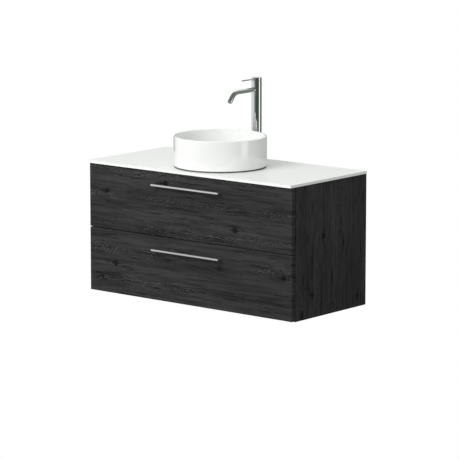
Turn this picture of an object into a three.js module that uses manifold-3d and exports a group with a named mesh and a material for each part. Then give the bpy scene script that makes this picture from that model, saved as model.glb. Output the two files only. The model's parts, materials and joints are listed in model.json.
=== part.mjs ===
// Wall-hung vanity: two-drawer cabinet, thin countertop, round vessel basin and tall pillar mixer.
// Millimetres. X runs along the wall, Y points into the wall, Z is up.
// The origin is on the rear face of the hanging rail, at the middle of the cabinet's width.

import * as THREE from 'three';
import { mergeVertices } from 'three/addons/utils/BufferGeometryUtils.js';
import Module from 'manifold-3d';

const wasm = await Module();
wasm.setup();

// ---------------------------------------------------------------- driving dimensions
const FIT = 0.3; // gap between neighbours that rest on each other
const ORIGIN_BELOW_TOP = 50; // the origin lies this far under the countertop's underside

const CABINET = { halfWidth: 500, height: 505, board: 18, frontEdge: -431.5 };
const COUNTERTOP = { halfWidth: 502, depth: 465, thickness: 10, wasteHole: 23, tapHole: 17.5 };
const RAILS = { height: 99.4, board: 18, frontDepth: 80 };
const BRACKET = { thickness: 12, depth: 40, height: 42, hook: 14 };

const DRAWER = {
  frontHalfWidth: 500, frontFace: -454, frontBoard: 19, frontHeight: 248.5, topGap: 1.5, gap: 3,
  base: 12, back: 12, rear: -50, sideThickness: 14, upperSideHeight: 130, lowerSideHeight: 208,
};
const RUNNER = {
  centre: 468, length: 390, rear: -38, sheet: 1.5, lift: 18, legHeight: 34, footReach: 12,
  middleHalfWidth: 7.5, middleHeight: 14, web: 3, channelHalfWidth: 10, channelHeight: 12, play: 0.5,
};
const SIPHON_BAY = { halfWidth: 95, front: -322, corner: 30, wall: 3 };
const HANDLE = { halfLength: 166, leg: 10, projection: 26, bar: 7, height: 7.5, belowFrontTop: 51 };

const BASIN = {
  y: -264, radius: 179, height: 120, wall: 8, floor: 14, fall: 4, drainHole: 23,
  edgeRound: 5, footGap: 4.5, footInset: 7, footWidth: 16, innerRound: 32, recess: 34, recessDepth: 4.5,
};
const WASTE = {
  bore: 16, tube: 20, flange: 32, flangeHeight: 3, seal: 1.6, below: 60, stem: 4, plug: 31,
  plugHeight: 5, web: 6, nut: 29, nutHeight: 10, washer: 4,
};
const TRAP = {
  pipe: 16, pipeWall: 1.5, head: 32, headWall: 4, headTop: -118, headBottom: -168, cupBottom: -228,
  outletZ: -141, stubLength: 20, dip: -196, rosette: 36, rosetteDepth: 9,
};
const TAP = {
  y: -43.6, radius: 20, wall: 3.5, top: 332, base: 14, lip: 14, capHeight: 26, shank: 12, shankBore: 8,
  shankBottom: -58, nut: 20, nutHeight: 9, washer: 25, washerHeight: 3,
};
const LEVER = { radius: 3, reach: 90, belowTop: 6, root: 17.4 };
const SPOUT = { z: 285, radius: 9.2, bore: 7.4, reach: 164.4, drop: 36, angle: 50, bend: 45 };

// Heights that follow from the driving dimensions; 0 is the countertop's underside.
const COUNTER_Z = COUNTERTOP.thickness;
const PIVOT_Z = TAP.top - TAP.capHeight; // the lever cap tilts about this height
const UPPER_FRONT_Z = -DRAWER.topGap - DRAWER.frontHeight;
const LOWER_FRONT_Z = UPPER_FRONT_Z - DRAWER.gap - DRAWER.frontHeight;
const FRONT_BACK_Y = DRAWER.frontFace + DRAWER.frontBoard;
const SIDE_X = CABINET.halfWidth - CABINET.board; // inner face of a side panel

// ---------------------------------------------------------------- materials
const finish = (color, roughness, metalness) =>
  new THREE.MeshStandardMaterial({ color, roughness, metalness });
const BLACK_OAK = finish(0x2b2b2c, 0.55, 0);
const BLACK_OAK_SIDE = finish(0x242425, 0.6, 0);
const CARCASS = finish(0x2e2e2f, 0.6, 0);
const WHITE_TOP = finish(0xeef0ee, 0.25, 0);
const GLAZE = finish(0xf2f2f0, 0.1, 0);
const CHROME = finish(0xd4d6d8, 0.08, 1);
const BRUSHED = finish(0xc6c6c4, 0.3, 1);
const ZINC = finish(0xa9adb0, 0.4, 1);
const DRAWER_METAL = finish(0x55585a, 0.45, 0.4);
const DRAWER_BOARD = finish(0x46484a, 0.6, 0);
const RUBBER = finish(0x1c1c1c, 0.8, 0);
const BRASS = finish(0xb9975b, 0.35, 1);
const PLASTIC = finish(0x8d9092, 0.5, 0);

// ---------------------------------------------------------------- geometry helpers
const root = new THREE.Group();
const vanity = new THREE.Group();
vanity.position.z = ORIGIN_BELOW_TOP;
root.add(vanity);

// Welds a geometry by position and turns its faces outwards.
function weld(geometry) {
  const bare = geometry.index ? geometry.toNonIndexed() : geometry.clone();
  bare.deleteAttribute('normal');
  bare.deleteAttribute('uv');
  const welded = mergeVertices(bare, 1e-4);
  const p = welded.attributes.position;
  const index = Array.from(welded.index.array);
  const kept = [];
  let volume = 0;
  const corner = [new THREE.Vector3(), new THREE.Vector3(), new THREE.Vector3()];
  for (let i = 0; i < index.length; i += 3) {
    const [a, b, c] = index.slice(i, i + 3);
    if (a === b || b === c || a === c) continue;
    corner[0].fromBufferAttribute(p, a);
    corner[1].fromBufferAttribute(p, b);
    corner[2].fromBufferAttribute(p, c);
    volume += corner[0].dot(corner[1].clone().cross(corner[2]));
    kept.push([a, b, c]);
  }
  const faces = volume < 0 ? kept.map(([a, b, c]) => [a, c, b]) : kept;
  welded.setIndex(faces.flat());
  return welded;
}

// Closed geometry to solid and back, for booleans.
function solid(geometry) {
  const g = weld(geometry);
  const vertProperties = new Float32Array(g.attributes.position.array);
  const triVerts = new Uint32Array(g.index.array);
  return new wasm.Manifold(new wasm.Mesh({ numProp: 3, vertProperties, triVerts }));
}

function geometryOf(manifold) {
  const mesh = manifold.getMesh();
  const g = new THREE.BufferGeometry();
  g.setAttribute('position', new THREE.BufferAttribute(new Float32Array(mesh.vertProperties), 3));
  g.setIndex(Array.from(mesh.triVerts));
  return g;
}

function add(name, geometry, material, position = [0, 0, 0], rotation = [0, 0, 0]) {
  const mesh = new THREE.Mesh(weld(geometry), material);
  mesh.name = name;
  mesh.position.set(...position);
  mesh.rotation.set(...rotation);
  vanity.add(mesh);
}

// A box from its low and high limits along each axis.
function block([x0, x1], [y0, y1], [z0, z1]) {
  const g = new THREE.BoxGeometry(x1 - x0, y1 - y0, z1 - z0);
  return g.translate((x0 + x1) / 2, (y0 + y1) / 2, (z0 + z1) / 2);
}

// Points of an arc round (cx, cy), angles in degrees.
function arc(cx, cy, r, from, to, steps) {
  return Array.from({ length: steps + 1 }, (_, i) => {
    const a = THREE.MathUtils.degToRad(from + ((to - from) * i) / steps);
    return [cx + r * Math.cos(a), cy + r * Math.sin(a)];
  });
}

// A turned body: the profile lists (radius, z) and turns about Z.
function turned(profile, segments) {
  const g = new THREE.LatheGeometry(profile.map(([r, z]) => new THREE.Vector2(r, z)), segments);
  return g.rotateX(Math.PI / 2);
}

// A turned ring, whose profile closes on itself.
const turnedRing = (profile, segments) => turned([...profile, profile[0]], segments);

const sleeve = (inner, outer, z0, z1, segments) =>
  turnedRing([[inner, z0], [outer, z0], [outer, z1], [inner, z1]], segments);

const rod = (radius, z0, z1, segments) => turned([[0, z0], [radius, z0], [radius, z1], [0, z1]], segments);

// An outline in the XY plane, extruded from z0 to z1.
function plate(outline, z0, z1, holes = []) {
  const shape = new THREE.Shape(outline.map(([x, y]) => new THREE.Vector2(x, y)));
  shape.holes = holes.map((hole) => new THREE.Path(hole.map(([x, y]) => new THREE.Vector2(x, y))));
  const g = new THREE.ExtrudeGeometry(shape, { depth: z1 - z0, bevelEnabled: false });
  return g.translate(0, 0, z0);
}

// An outline of (x, z) points, extruded along Y from y0 to y1.
const profileAlongY = (outline, y0, y1) =>
  plate(outline.map(([x, z]) => [x, -z]), y0, y1).rotateX(-Math.PI / 2);

// An outline of (y, z) points, extruded along X from x0 to x1.
const profileAlongX = (outline, x0, x1) => plate(outline, x0, x1).rotateX(Math.PI / 2).rotateZ(Math.PI / 2);

const circle = (x, y, r, steps) => arc(x, y, r, 0, 360 - 360 / steps, steps - 1);

// ---------------------------------------------------------------- cabinet
function sidePanels() {
  const y = [CABINET.frontEdge, 0];
  const z = [-CABINET.height, -FIT];
  add('left_side_panel', block([-CABINET.halfWidth, -SIDE_X], y, z), BLACK_OAK_SIDE);
  add('right_side_panel', block([SIDE_X, CABINET.halfWidth], y, z), BLACK_OAK_SIDE);
}

function crossBoards() {
  const x = [-SIDE_X + FIT, SIDE_X - FIT];
  const floorTop = -CABINET.height + CABINET.board;
  const back = [-RAILS.board, 0];
  const front = [CABINET.frontEdge, CABINET.frontEdge + RAILS.frontDepth];
  add('bottom_panel', block(x, [CABINET.frontEdge, 0], [-CABINET.height, floorTop]), CARCASS);
  add('front_top_rail', block(x, front, [-CABINET.board, -FIT]), CARCASS);
  add('back_top_rail', block(x, back, [-FIT - RAILS.height, -FIT]), CARCASS);
  add('back_bottom_rail', block(x, back, [floorTop + FIT, floorTop + FIT + RAILS.height]), CARCASS);
}

// Screwed to the side panel under the hanging rail; the hook reaches back to a wall plate.
function hangingBrackets() {
  const top = -FIT - RAILS.height - 2;
  const bottom = top - BRACKET.height;
  const outline = [
    [-BRACKET.depth, bottom], [-BRACKET.hook, bottom], [-BRACKET.hook, top - 12], [-5, top - 12],
    [-5, top - 30], [0, top - 30], [0, top - 4], [-4, top], [-BRACKET.depth, top],
  ];
  const inner = SIDE_X - FIT;
  add('hanging_bracket_left', profileAlongX(outline, -inner, -inner + BRACKET.thickness), ZINC);
  add('hanging_bracket_right', profileAlongX(outline, inner - BRACKET.thickness, inner), ZINC);
}

function countertop() {
  const w = COUNTERTOP.halfWidth;
  const outline = [[-w, -COUNTERTOP.depth], [w, -COUNTERTOP.depth], [w, 0], [-w, 0]];
  const wasteHole = circle(0, BASIN.y, COUNTERTOP.wasteHole, 32);
  const tapHole = circle(0, TAP.y, COUNTERTOP.tapHole, 28);
  add('countertop', plate(outline, 0, COUNTER_Z, [wasteHole, tapHole]), WHITE_TOP);
}

// ---------------------------------------------------------------- basin and waste
function basin() {
  const { radius: r, height: h, wall, floor, fall, footGap: gap, edgeRound: e, innerRound: n } = BASIN;
  const rim = wall / 2;
  const recessFloor = floor - BASIN.recessDepth;
  const footOuter = r - BASIN.footInset;
  const footInner = footOuter - BASIN.footWidth;
  const profile = [
    [BASIN.drainHole, FIT], [BASIN.drainHole + 12, FIT], [BASIN.drainHole + 14, FIT + 4],
    [footInner - 3, FIT + 4], [footInner, FIT], [footOuter, FIT], [footOuter, gap],
    ...arc(r - e, gap + e, e, -90, 0, 3),
    ...arc(r - rim, h - rim, rim, 0, 180, 5),
    ...arc(r - wall - n, floor + fall + n, n, 0, -90, 6),
    [BASIN.recess, floor], [BASIN.recess, recessFloor], [BASIN.drainHole, recessFloor],
  ];
  add('basin', turnedRing(profile, 44), GLAZE, [0, BASIN.y, COUNTER_Z]);
}

const SEAL_Z = COUNTER_Z + BASIN.floor - BASIN.recessDepth + FIT;
const FLANGE_Z = SEAL_Z + WASTE.seal + FIT;
const FLANGE_TOP = FLANGE_Z + WASTE.flangeHeight;

function wasteBody() {
  const shell = turnedRing([
    [WASTE.bore, -WASTE.below], [WASTE.tube, -WASTE.below], [WASTE.tube, FLANGE_Z],
    [WASTE.flange - 1, FLANGE_Z], [WASTE.flange, FLANGE_TOP - 1], [WASTE.flange - 2, FLANGE_TOP],
    [WASTE.bore + 2, FLANGE_TOP], [WASTE.bore, FLANGE_TOP - 3],
  ], 28);
  const reach = WASTE.bore + 2;
  const half = WASTE.web / 2;
  const webTop = -18;
  const web = block([-reach, reach], [-half - 3, half + 3], [webTop - WASTE.web, webTop]);
  const guide = rod(WASTE.stem + 0.4, webTop - 12, webTop + 12, 16);
  const body = solid(shell).add(solid(web)).subtract(solid(guide));
  add('waste_body', geometryOf(body), CHROME, [0, BASIN.y, 0]);
}

function wasteFittings() {
  const at = [0, BASIN.y, 0];
  const inner = WASTE.tube + FIT;
  const seal = sleeve(inner, WASTE.flange - 1, SEAL_Z, SEAL_Z + WASTE.seal, 24);
  add('waste_seal', seal, RUBBER, at);
  const washerTop = -FIT;
  const washerBottom = washerTop - WASTE.washer;
  add('waste_washer', sleeve(inner, WASTE.nut + 2, washerBottom, washerTop, 24), RUBBER, at);
  const nutTop = washerBottom - FIT;
  const hexagon = circle(0, 0, WASTE.nut, 6);
  const nut = plate(hexagon, nutTop - WASTE.nutHeight, nutTop, [circle(0, 0, inner, 24)]);
  add('waste_nut', nut, BRASS, at);
}

// Domed click plug: its cap closes on the flange, its stem runs in the body's web.
function wastePlug() {
  const seat = FLANGE_TOP + FIT;
  const cap = seat + WASTE.plugHeight;
  const profile = [
    [0, -34], [WASTE.stem, -34], [WASTE.stem, seat - 3], [WASTE.bore - 1.5, seat - 2.4],
    [WASTE.bore - 1.5, seat], [WASTE.plug - 0.6, seat], [WASTE.plug, seat + 0.8], [WASTE.plug, cap - 2.4],
    [WASTE.plug - 1.5, cap - 1], [WASTE.plug * 0.6, cap - 0.3], [0, cap],
  ];
  add('waste_plug', turned(profile, 28), CHROME, [0, BASIN.y, 0]);
}

// ---------------------------------------------------------------- bottle trap
function trapInlet() {
  const at = [0, BASIN.y, 0];
  const { pipe, pipeWall } = TRAP;
  const pipeTop = -WASTE.below - FIT;
  add('trap_inlet_pipe', sleeve(pipe - pipeWall, pipe, TRAP.dip, pipeTop, 20), CHROME, at);
  const nut = turnedRing([
    [pipe + FIT, pipeTop - 14], [25, pipeTop - 14], [27, pipeTop - 12], [27, pipeTop + 10],
    [WASTE.tube + FIT, pipeTop + 10], [WASTE.tube + FIT, pipeTop - 3], [pipe + FIT, pipeTop - 3],
  ], 20);
  add('trap_inlet_nut', nut, CHROME, at);
}

function trapBottle() {
  const at = [0, BASIN.y, 0];
  const { head, headWall, headTop, headBottom, pipe, outletZ } = TRAP;
  const inside = head - headWall;
  const shell = turnedRing([
    [pipe + 0.4, headTop - 5], [pipe + 0.4, headTop + 6], [pipe + 5, headTop + 6], [head - 6, headTop],
    [head, headTop - 6], [head, headBottom], [inside, headBottom], [inside, headTop - 5],
  ], 24);
  const stub = rod(pipe + 3, 0, head + TRAP.stubLength, 20).rotateX(-Math.PI / 2).translate(0, 0, outletZ);
  const bore = rod(pipe + 0.4, 0, head + 60, 20).rotateX(-Math.PI / 2).translate(0, 0, outletZ);
  const hollow = rod(inside, headBottom - 5, headTop - 5, 24);
  const neck = rod(pipe + 0.4, headTop - 10, headTop + 10, 24);
  const body = solid(shell).add(solid(stub)).subtract(solid(hollow)).subtract(solid(bore));
  add('trap_body', geometryOf(body.subtract(solid(neck))), CHROME, at);

  const cupTop = headBottom - FIT;
  const cup = turned([
    [0, TRAP.cupBottom], [18, TRAP.cupBottom], ...arc(22, TRAP.cupBottom + 8, 8, -60, 0, 3),
    [head - 2, cupTop - 14], [head + 2, cupTop - 13], [head + 2, cupTop], [inside, cupTop],
    [inside, cupTop - 14], [26, TRAP.cupBottom + 8], [20, TRAP.cupBottom + 4], [0, TRAP.cupBottom + 4],
  ], 24);
  add('trap_cup', cup, CHROME, at);
}

function trapOutlet() {
  const { pipe, pipeWall, outletZ, head, stubLength } = TRAP;
  const along = [-Math.PI / 2, 0, 0]; // turns a body made about Z to lie along Y
  const start = BASIN.y + head - 2;
  const stubEnd = BASIN.y + head + stubLength;
  const at = [0, 0, outletZ];
  add('trap_outlet_pipe', sleeve(pipe - pipeWall, pipe, start, 0, 20), CHROME, at, along);
  const nut = turnedRing([
    [pipe + 3 + FIT, stubEnd - 12], [26, stubEnd - 12], [26, stubEnd + 6], [24, stubEnd + 8],
    [pipe + FIT, stubEnd + 8], [pipe + FIT, stubEnd + FIT], [pipe + 3 + FIT, stubEnd + FIT],
  ], 20);
  add('trap_outlet_nut', nut, CHROME, at, along);
  const rosette = turnedRing([
    [pipe + FIT, -TRAP.rosetteDepth], [pipe + 6, -TRAP.rosetteDepth], ...arc(pipe + 6, 2, 11, -90, -20, 3),
    [TRAP.rosette, -1], [TRAP.rosette, 0], [pipe + FIT, 0],
  ], 24);
  add('wall_rosette', rosette, CHROME, at, along);
}

// ---------------------------------------------------------------- mixer tap
// The cap tilts about a point under its lip, so the lip's inner edge sweeps a sphere.
const LIP_SWEEP = Math.hypot(TAP.radius - 1, TAP.lip);
const DOME = LIP_SWEEP - 0.5;
const CAVITY = LIP_SWEEP + 0.4;
const COLUMN_TOP = PIVOT_Z + Math.sqrt((LIP_SWEEP - 0.3) ** 2 - TAP.radius ** 2);
const TURRET = { radius: 11, bottom: -12, slotFloor: -9.4, top: 6, slot: 3.4, pin: 1.5 };

function tapColumn() {
  const { radius, wall, shank, base } = TAP;
  const bottom = COUNTER_Z + FIT;
  const floor = COUNTER_Z + base;
  const tube = turnedRing([
    [shank + FIT, bottom], [radius, bottom], [radius, COLUMN_TOP], [radius - wall, COLUMN_TOP],
    [radius - wall, floor], [shank + FIT, floor],
  ], 32);
  const mouth = rod(SPOUT.radius + FIT, radius - wall - 3, radius + 5, 24);
  mouth.rotateX(Math.PI / 2).translate(0, 0, SPOUT.z);
  add('tap_column', geometryOf(solid(tube).subtract(solid(mouth))), CHROME, [0, TAP.y, 0]);
}

function tapSpout() {
  const { z, radius, bore, reach, drop, angle, bend } = SPOUT;
  const a = THREE.MathUtils.degToRad(angle);
  const straight = (drop - bend * (1 - Math.cos(a))) / Math.sin(a);
  const bendStart = TAP.y - reach + bend * Math.sin(a) + straight * Math.cos(a);
  const bendEnd = new THREE.Vector3(0, bendStart - bend * Math.sin(a), z - bend * (1 - Math.cos(a)));
  const tip = new THREE.Vector3(0, TAP.y - reach, z - drop);
  const start = new THREE.Vector3(0, TAP.y - TAP.radius + 2.4, z);
  const corner = new THREE.Vector3(0, bendStart, z);
  const knee = new THREE.Vector3(0, bendStart - bend * Math.tan(a / 2), z);
  const path = new THREE.CurvePath();
  path.add(new THREE.LineCurve3(start, corner));
  path.add(new THREE.QuadraticBezierCurve3(corner, knee, bendEnd));
  path.add(new THREE.LineCurve3(bendEnd, tip));
  const section = new THREE.Shape(circle(0, 0, radius, 16).map(([x, y]) => new THREE.Vector2(x, y)));
  section.holes = [new THREE.Path(circle(0, 0, bore, 12).map(([x, y]) => new THREE.Vector2(x, y)))];
  add('tap_spout', new THREE.ExtrudeGeometry(section, { steps: 16, extrudePath: path }), CHROME);

  // The aerator sits just inside the tip and lines up with the last straight stretch.
  add('tap_aerator', rod(bore - 2 * FIT, 1, 10, 16), PLASTIC, tip.toArray(), [a - Math.PI / 2, 0, 0]);
}

function tapCartridge() {
  const at = [0, TAP.y, PIVOT_Z];
  const bore = TURRET.radius + 1.6;
  const seat = COLUMN_TOP - PIVOT_Z + FIT;
  const foot = TAP.radius - 0.5;
  const footHeight = Math.sqrt(DOME ** 2 - foot ** 2);
  const from = THREE.MathUtils.radToDeg(Math.atan2(footHeight, foot));
  const to = THREE.MathUtils.radToDeg(Math.acos(bore / DOME));
  const body = rod(TAP.radius - TAP.wall - FIT, TURRET.bottom - 40, TURRET.bottom - FIT, 28);
  add('tap_cartridge', body, PLASTIC, at);
  const ring = turnedRing([
    [bore, -2], [TAP.radius - TAP.wall - FIT, -2], [TAP.radius - TAP.wall - FIT, seat], [foot, seat],
    ...arc(0, 0, DOME, from, to, 3),
  ], 28);
  add('tap_retaining_ring', ring, CHROME, at);

  const { radius, bottom, slotFloor, top, slot, pin } = TURRET;
  const groove = block([-slot, slot], [-radius - 1, radius + 1], [slotFloor, top + 1]);
  const pinHole = rod(pin + FIT, -radius - 1, radius + 1, 12).rotateY(Math.PI / 2);
  const turret = solid(rod(radius, bottom, top, 20)).subtract(solid(groove)).subtract(solid(pinHole));
  add('tap_turret', geometryOf(turret), BRASS, at);
}

function tapHandle() {
  const at = [0, TAP.y, PIVOT_Z];
  const { radius, lip, capHeight: h } = TAP;
  const lipAngle = THREE.MathUtils.radToDeg(Math.acos((radius - 1) / CAVITY));
  const dome = turned([
    [0, h], [radius - 0.8, h], [radius - 0.2, h - 0.2], [radius, h - 0.8], [radius, lip],
    [radius - 1, lip], ...arc(0, 0, CAVITY, lipAngle, 90, 4),
  ], 28);
  const pinZ = h - LEVER.belowTop;
  const socket = rod(LEVER.radius + FIT, LEVER.root - FIT, radius + 5, 16);
  socket.rotateX(Math.PI / 2).translate(0, 0, pinZ);
  add('tap_cap', geometryOf(solid(dome).subtract(solid(socket))), CHROME, at);

  const lever = turned([
    [0, LEVER.root], [LEVER.radius, LEVER.root], [LEVER.radius, LEVER.reach - 1],
    [LEVER.radius - 1, LEVER.reach], [0, LEVER.reach],
  ], 16).rotateX(Math.PI / 2).translate(0, 0, pinZ);
  add('tap_lever', lever, CHROME, at);

  const stem = rod(3, -8, CAVITY - 0.4, 16);
  const crossPin = rod(TURRET.pin, -9.5, 9.5, 12).rotateY(Math.PI / 2);
  add('tap_stem', geometryOf(solid(stem).add(solid(crossPin))), BRASS, at);
}

function tapFixing() {
  const at = [0, TAP.y, 0];
  const { shank, shankBore, base, washer, washerHeight, nut, nutHeight } = TAP;
  const shankTop = COUNTER_Z + base - 1;
  add('tap_shank', sleeve(shankBore, shank, TAP.shankBottom, shankTop, 24), BRASS, at);
  const washerBottom = -FIT - washerHeight;
  add('tap_washer', sleeve(shank + FIT, washer, washerBottom, -FIT, 24), RUBBER, at);
  const nutTop = washerBottom - FIT;
  const hexagon = circle(0, 0, nut, 6);
  add('tap_nut', plate(hexagon, nutTop - nutHeight, nutTop, [circle(0, 0, shank + FIT, 20)]), BRASS, at);
}

// ---------------------------------------------------------------- drawers
// The side wall is a slim folded profile; `side` is -1 on the left and 1 on the right.
function drawerSide(name, side, bottom, height) {
  const inner = RUNNER.centre - DRAWER.sideThickness / 2 + 1;
  const outer = inner + DRAWER.sideThickness;
  const outline = [
    [inner, bottom], [outer - 4, bottom], [outer - 4, bottom + 16], [outer, bottom + 22],
    [outer, bottom + height - 3], [outer - 2, bottom + height], [inner + 2, bottom + height],
    [inner, bottom + height - 2],
  ].map(([x, z]) => [side * x, z]);
  add(name, profileAlongY(outline, FRONT_BACK_Y + FIT, DRAWER.rear), DRAWER_METAL);
}

function drawerHandle(name, frontTop) {
  const { halfLength: w, leg, projection, bar, height, belowFrontTop } = HANDLE;
  const foot = DRAWER.frontFace - FIT;
  const face = DRAWER.frontFace - projection;
  const outline = [
    [-w, foot], [-w, face], [w, face], [w, foot], [w - leg, foot], [w - leg, face + bar],
    [-w + leg, face + bar], [-w + leg, foot],
  ];
  const middle = frontTop - belowFrontTop;
  add(name, plate(outline, middle - height / 2, middle + height / 2), BRUSHED);
}

// The front, both sides and the handle, shared by the two drawers.
function drawerShell(prefix, frontBottom, sideHeight) {
  const w = DRAWER.frontHalfWidth;
  const frontTop = frontBottom + DRAWER.frontHeight;
  const front = block([-w, w], [DRAWER.frontFace, FRONT_BACK_Y], [frontBottom, frontTop]);
  add(`${prefix}_drawer_front`, front, BLACK_OAK);
  drawerHandle(`${prefix}_drawer_handle`, frontTop);
  const bottom = frontBottom + RUNNER.lift + RUNNER.channelHeight + 6 + FIT;
  drawerSide(`${prefix}_drawer_side_left`, -1, bottom, sideHeight);
  drawerSide(`${prefix}_drawer_side_right`, 1, bottom, sideHeight);
  return bottom;
}

const BASE_X = RUNNER.centre - DRAWER.sideThickness / 2 + 1 - FIT;
const BACK_FRONT_Y = DRAWER.rear - DRAWER.back;

// The upper drawer is cut away round the trap, with a plastic wall round the cut.
function upperDrawer() {
  const bottom = drawerShell('upper', UPPER_FRONT_Z, DRAWER.upperSideHeight);
  const floor = bottom + DRAWER.base;
  const top = bottom + DRAWER.upperSideHeight - 8;
  const front = FRONT_BACK_Y + FIT;
  const { halfWidth: w, front: bayFront, corner: c, wall } = SIPHON_BAY;
  const bay = (grow, rear) => [
    [w + grow, rear], ...arc(w - c, bayFront + c, c + grow, 0, -90, 5),
    ...arc(-w + c, bayFront + c, c + grow, -90, -180, 5), [-w - grow, rear],
  ];
  const baseRear = BACK_FRONT_Y - FIT;
  const base = [
    [-BASE_X, baseRear], [-BASE_X, front], [BASE_X, front], [BASE_X, baseRear], ...bay(0, baseRear),
  ];
  add('upper_drawer_base', plate(base, bottom, floor), DRAWER_BOARD);

  const outer = bay(wall, DRAWER.rear);
  const inner = bay(0, DRAWER.rear).reverse();
  add('upper_drawer_siphon_wall', plate([...outer, ...inner], floor + FIT, top), PLASTIC);

  const back = [BACK_FRONT_Y, DRAWER.rear];
  const bayEdge = w + wall + FIT;
  add('upper_drawer_back_left', block([-BASE_X, -bayEdge], back, [bottom, top]), DRAWER_BOARD);
  add('upper_drawer_back_right', block([bayEdge, BASE_X], back, [bottom, top]), DRAWER_BOARD);
}

function lowerDrawer() {
  const bottom = drawerShell('lower', LOWER_FRONT_Z, DRAWER.lowerSideHeight);
  const x = [-BASE_X, BASE_X];
  const base = block(x, [FRONT_BACK_Y + FIT, BACK_FRONT_Y - FIT], [bottom, bottom + DRAWER.base]);
  add('lower_drawer_base', base, DRAWER_BOARD);
  const top = bottom + DRAWER.lowerSideHeight - 8;
  add('lower_drawer_back', block(x, [BACK_FRONT_Y, DRAWER.rear], [bottom, top]), DRAWER_BOARD);
}

// Concealed full-extension runner: cabinet member, half-travel middle member, drawer member.
function runner(prefix, side, sideName, frontBottom) {
  const r = RUNNER;
  const z = frontBottom + r.lift;
  const y = [r.rear - r.length, r.rear];
  const wallX = SIDE_X - FIT;
  const flip = (outline) => outline.map(([x, h]) => [side * x, z + h]);
  const cabinet = flip([
    [r.centre - r.footReach, 0], [wallX, 0], [wallX, r.legHeight], [wallX - r.sheet, r.legHeight],
    [wallX - r.sheet, r.sheet], [r.centre - r.footReach, r.sheet],
  ]);
  const low = r.sheet + r.play;
  const high = low + r.middleHeight;
  const wide = r.middleHalfWidth;
  const thin = r.web / 2;
  const right = [
    [wide, low], [wide, low + 3], [thin, low + 4], [thin, high - 4], [wide, high - 3], [wide, high],
  ];
  const left = right.map(([x, h]) => [-x, h]).reverse();
  const middle = flip([...right, ...left].map(([x, h]) => [r.centre + x, h]));
  const top = high + r.play + r.sheet;
  const wing = r.channelHalfWidth;
  const channel = flip([
    [-wing, top - r.channelHeight], [-wing, top], [wing, top], [wing, top - r.channelHeight],
    [wing - r.sheet, top - r.channelHeight], [wing - r.sheet, top - r.sheet],
    [-wing + r.sheet, top - r.sheet], [-wing + r.sheet, top - r.channelHeight],
  ].map(([x, h]) => [r.centre + x, h]));
  add(`${prefix}_runner_cabinet_${sideName}`, profileAlongY(cabinet, ...y), ZINC);
  add(`${prefix}_runner_middle_${sideName}`, profileAlongY(middle, ...y), ZINC);
  add(`${prefix}_runner_drawer_${sideName}`, profileAlongY(channel, y[0], DRAWER.rear), ZINC);
}

// ---------------------------------------------------------------- assembly
sidePanels();
crossBoards();
hangingBrackets();
countertop();
basin();
wasteBody();
wasteFittings();
wastePlug();
trapInlet();
trapBottle();
trapOutlet();
tapColumn();
tapSpout();
tapCartridge();
tapHandle();
tapFixing();
upperDrawer();
lowerDrawer();
for (const [prefix, frontBottom] of [['upper', UPPER_FRONT_Z], ['lower', LOWER_FRONT_Z]]) {
  runner(prefix, -1, 'left', frontBottom);
  runner(prefix, 1, 'right', frontBottom);
}

export default root;
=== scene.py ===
import json
from math import acos, atan2, ceil, cos, degrees, hypot, pi, radians, sin, sqrt, tan

import bmesh
import bpy
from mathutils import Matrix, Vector


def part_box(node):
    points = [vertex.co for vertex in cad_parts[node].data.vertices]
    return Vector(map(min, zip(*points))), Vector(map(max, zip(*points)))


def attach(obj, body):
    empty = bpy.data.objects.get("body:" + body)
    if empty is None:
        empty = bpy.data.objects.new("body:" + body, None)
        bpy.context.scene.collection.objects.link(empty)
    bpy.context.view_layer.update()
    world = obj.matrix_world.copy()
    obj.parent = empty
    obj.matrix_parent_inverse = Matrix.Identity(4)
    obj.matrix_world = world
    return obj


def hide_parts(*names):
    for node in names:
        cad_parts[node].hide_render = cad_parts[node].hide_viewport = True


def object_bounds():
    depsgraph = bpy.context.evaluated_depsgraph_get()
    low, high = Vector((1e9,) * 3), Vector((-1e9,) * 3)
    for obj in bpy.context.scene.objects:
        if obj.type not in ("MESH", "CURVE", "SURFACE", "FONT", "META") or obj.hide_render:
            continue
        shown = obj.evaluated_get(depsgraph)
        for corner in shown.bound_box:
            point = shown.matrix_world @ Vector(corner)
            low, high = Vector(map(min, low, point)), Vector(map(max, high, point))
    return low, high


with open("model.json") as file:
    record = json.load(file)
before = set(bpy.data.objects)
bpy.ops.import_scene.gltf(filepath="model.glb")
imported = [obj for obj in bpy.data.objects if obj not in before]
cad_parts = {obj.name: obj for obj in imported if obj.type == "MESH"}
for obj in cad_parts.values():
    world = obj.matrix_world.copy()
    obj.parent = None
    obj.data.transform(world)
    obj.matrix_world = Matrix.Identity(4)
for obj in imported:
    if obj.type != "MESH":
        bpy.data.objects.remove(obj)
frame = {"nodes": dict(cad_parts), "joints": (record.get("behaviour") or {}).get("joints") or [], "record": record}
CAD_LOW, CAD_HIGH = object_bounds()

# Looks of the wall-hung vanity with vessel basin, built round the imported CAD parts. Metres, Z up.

MM = 0.001
FIT = 0.3  # the CAD parts' gap between neighbours, in mm
RECORD = frame["record"]
SLOT_OF = {part["node"]: part["material_slot"] for part in RECORD["subparts"]}
BODY_OF = {node: body for body, nodes in RECORD["behaviour"]["bodies"].items() for node in nodes}


# ---------------------------------------------------------------- camera, light and backdrop
CAMERA_AIM = Vector((-0.0046, -0.2, -0.1962))
CAMERA_DISTANCE = 11.008
CAMERA_AZIMUTH = 39.552
CAMERA_ELEVATION = 9.925
CAMERA_LENS = 223.62

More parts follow.
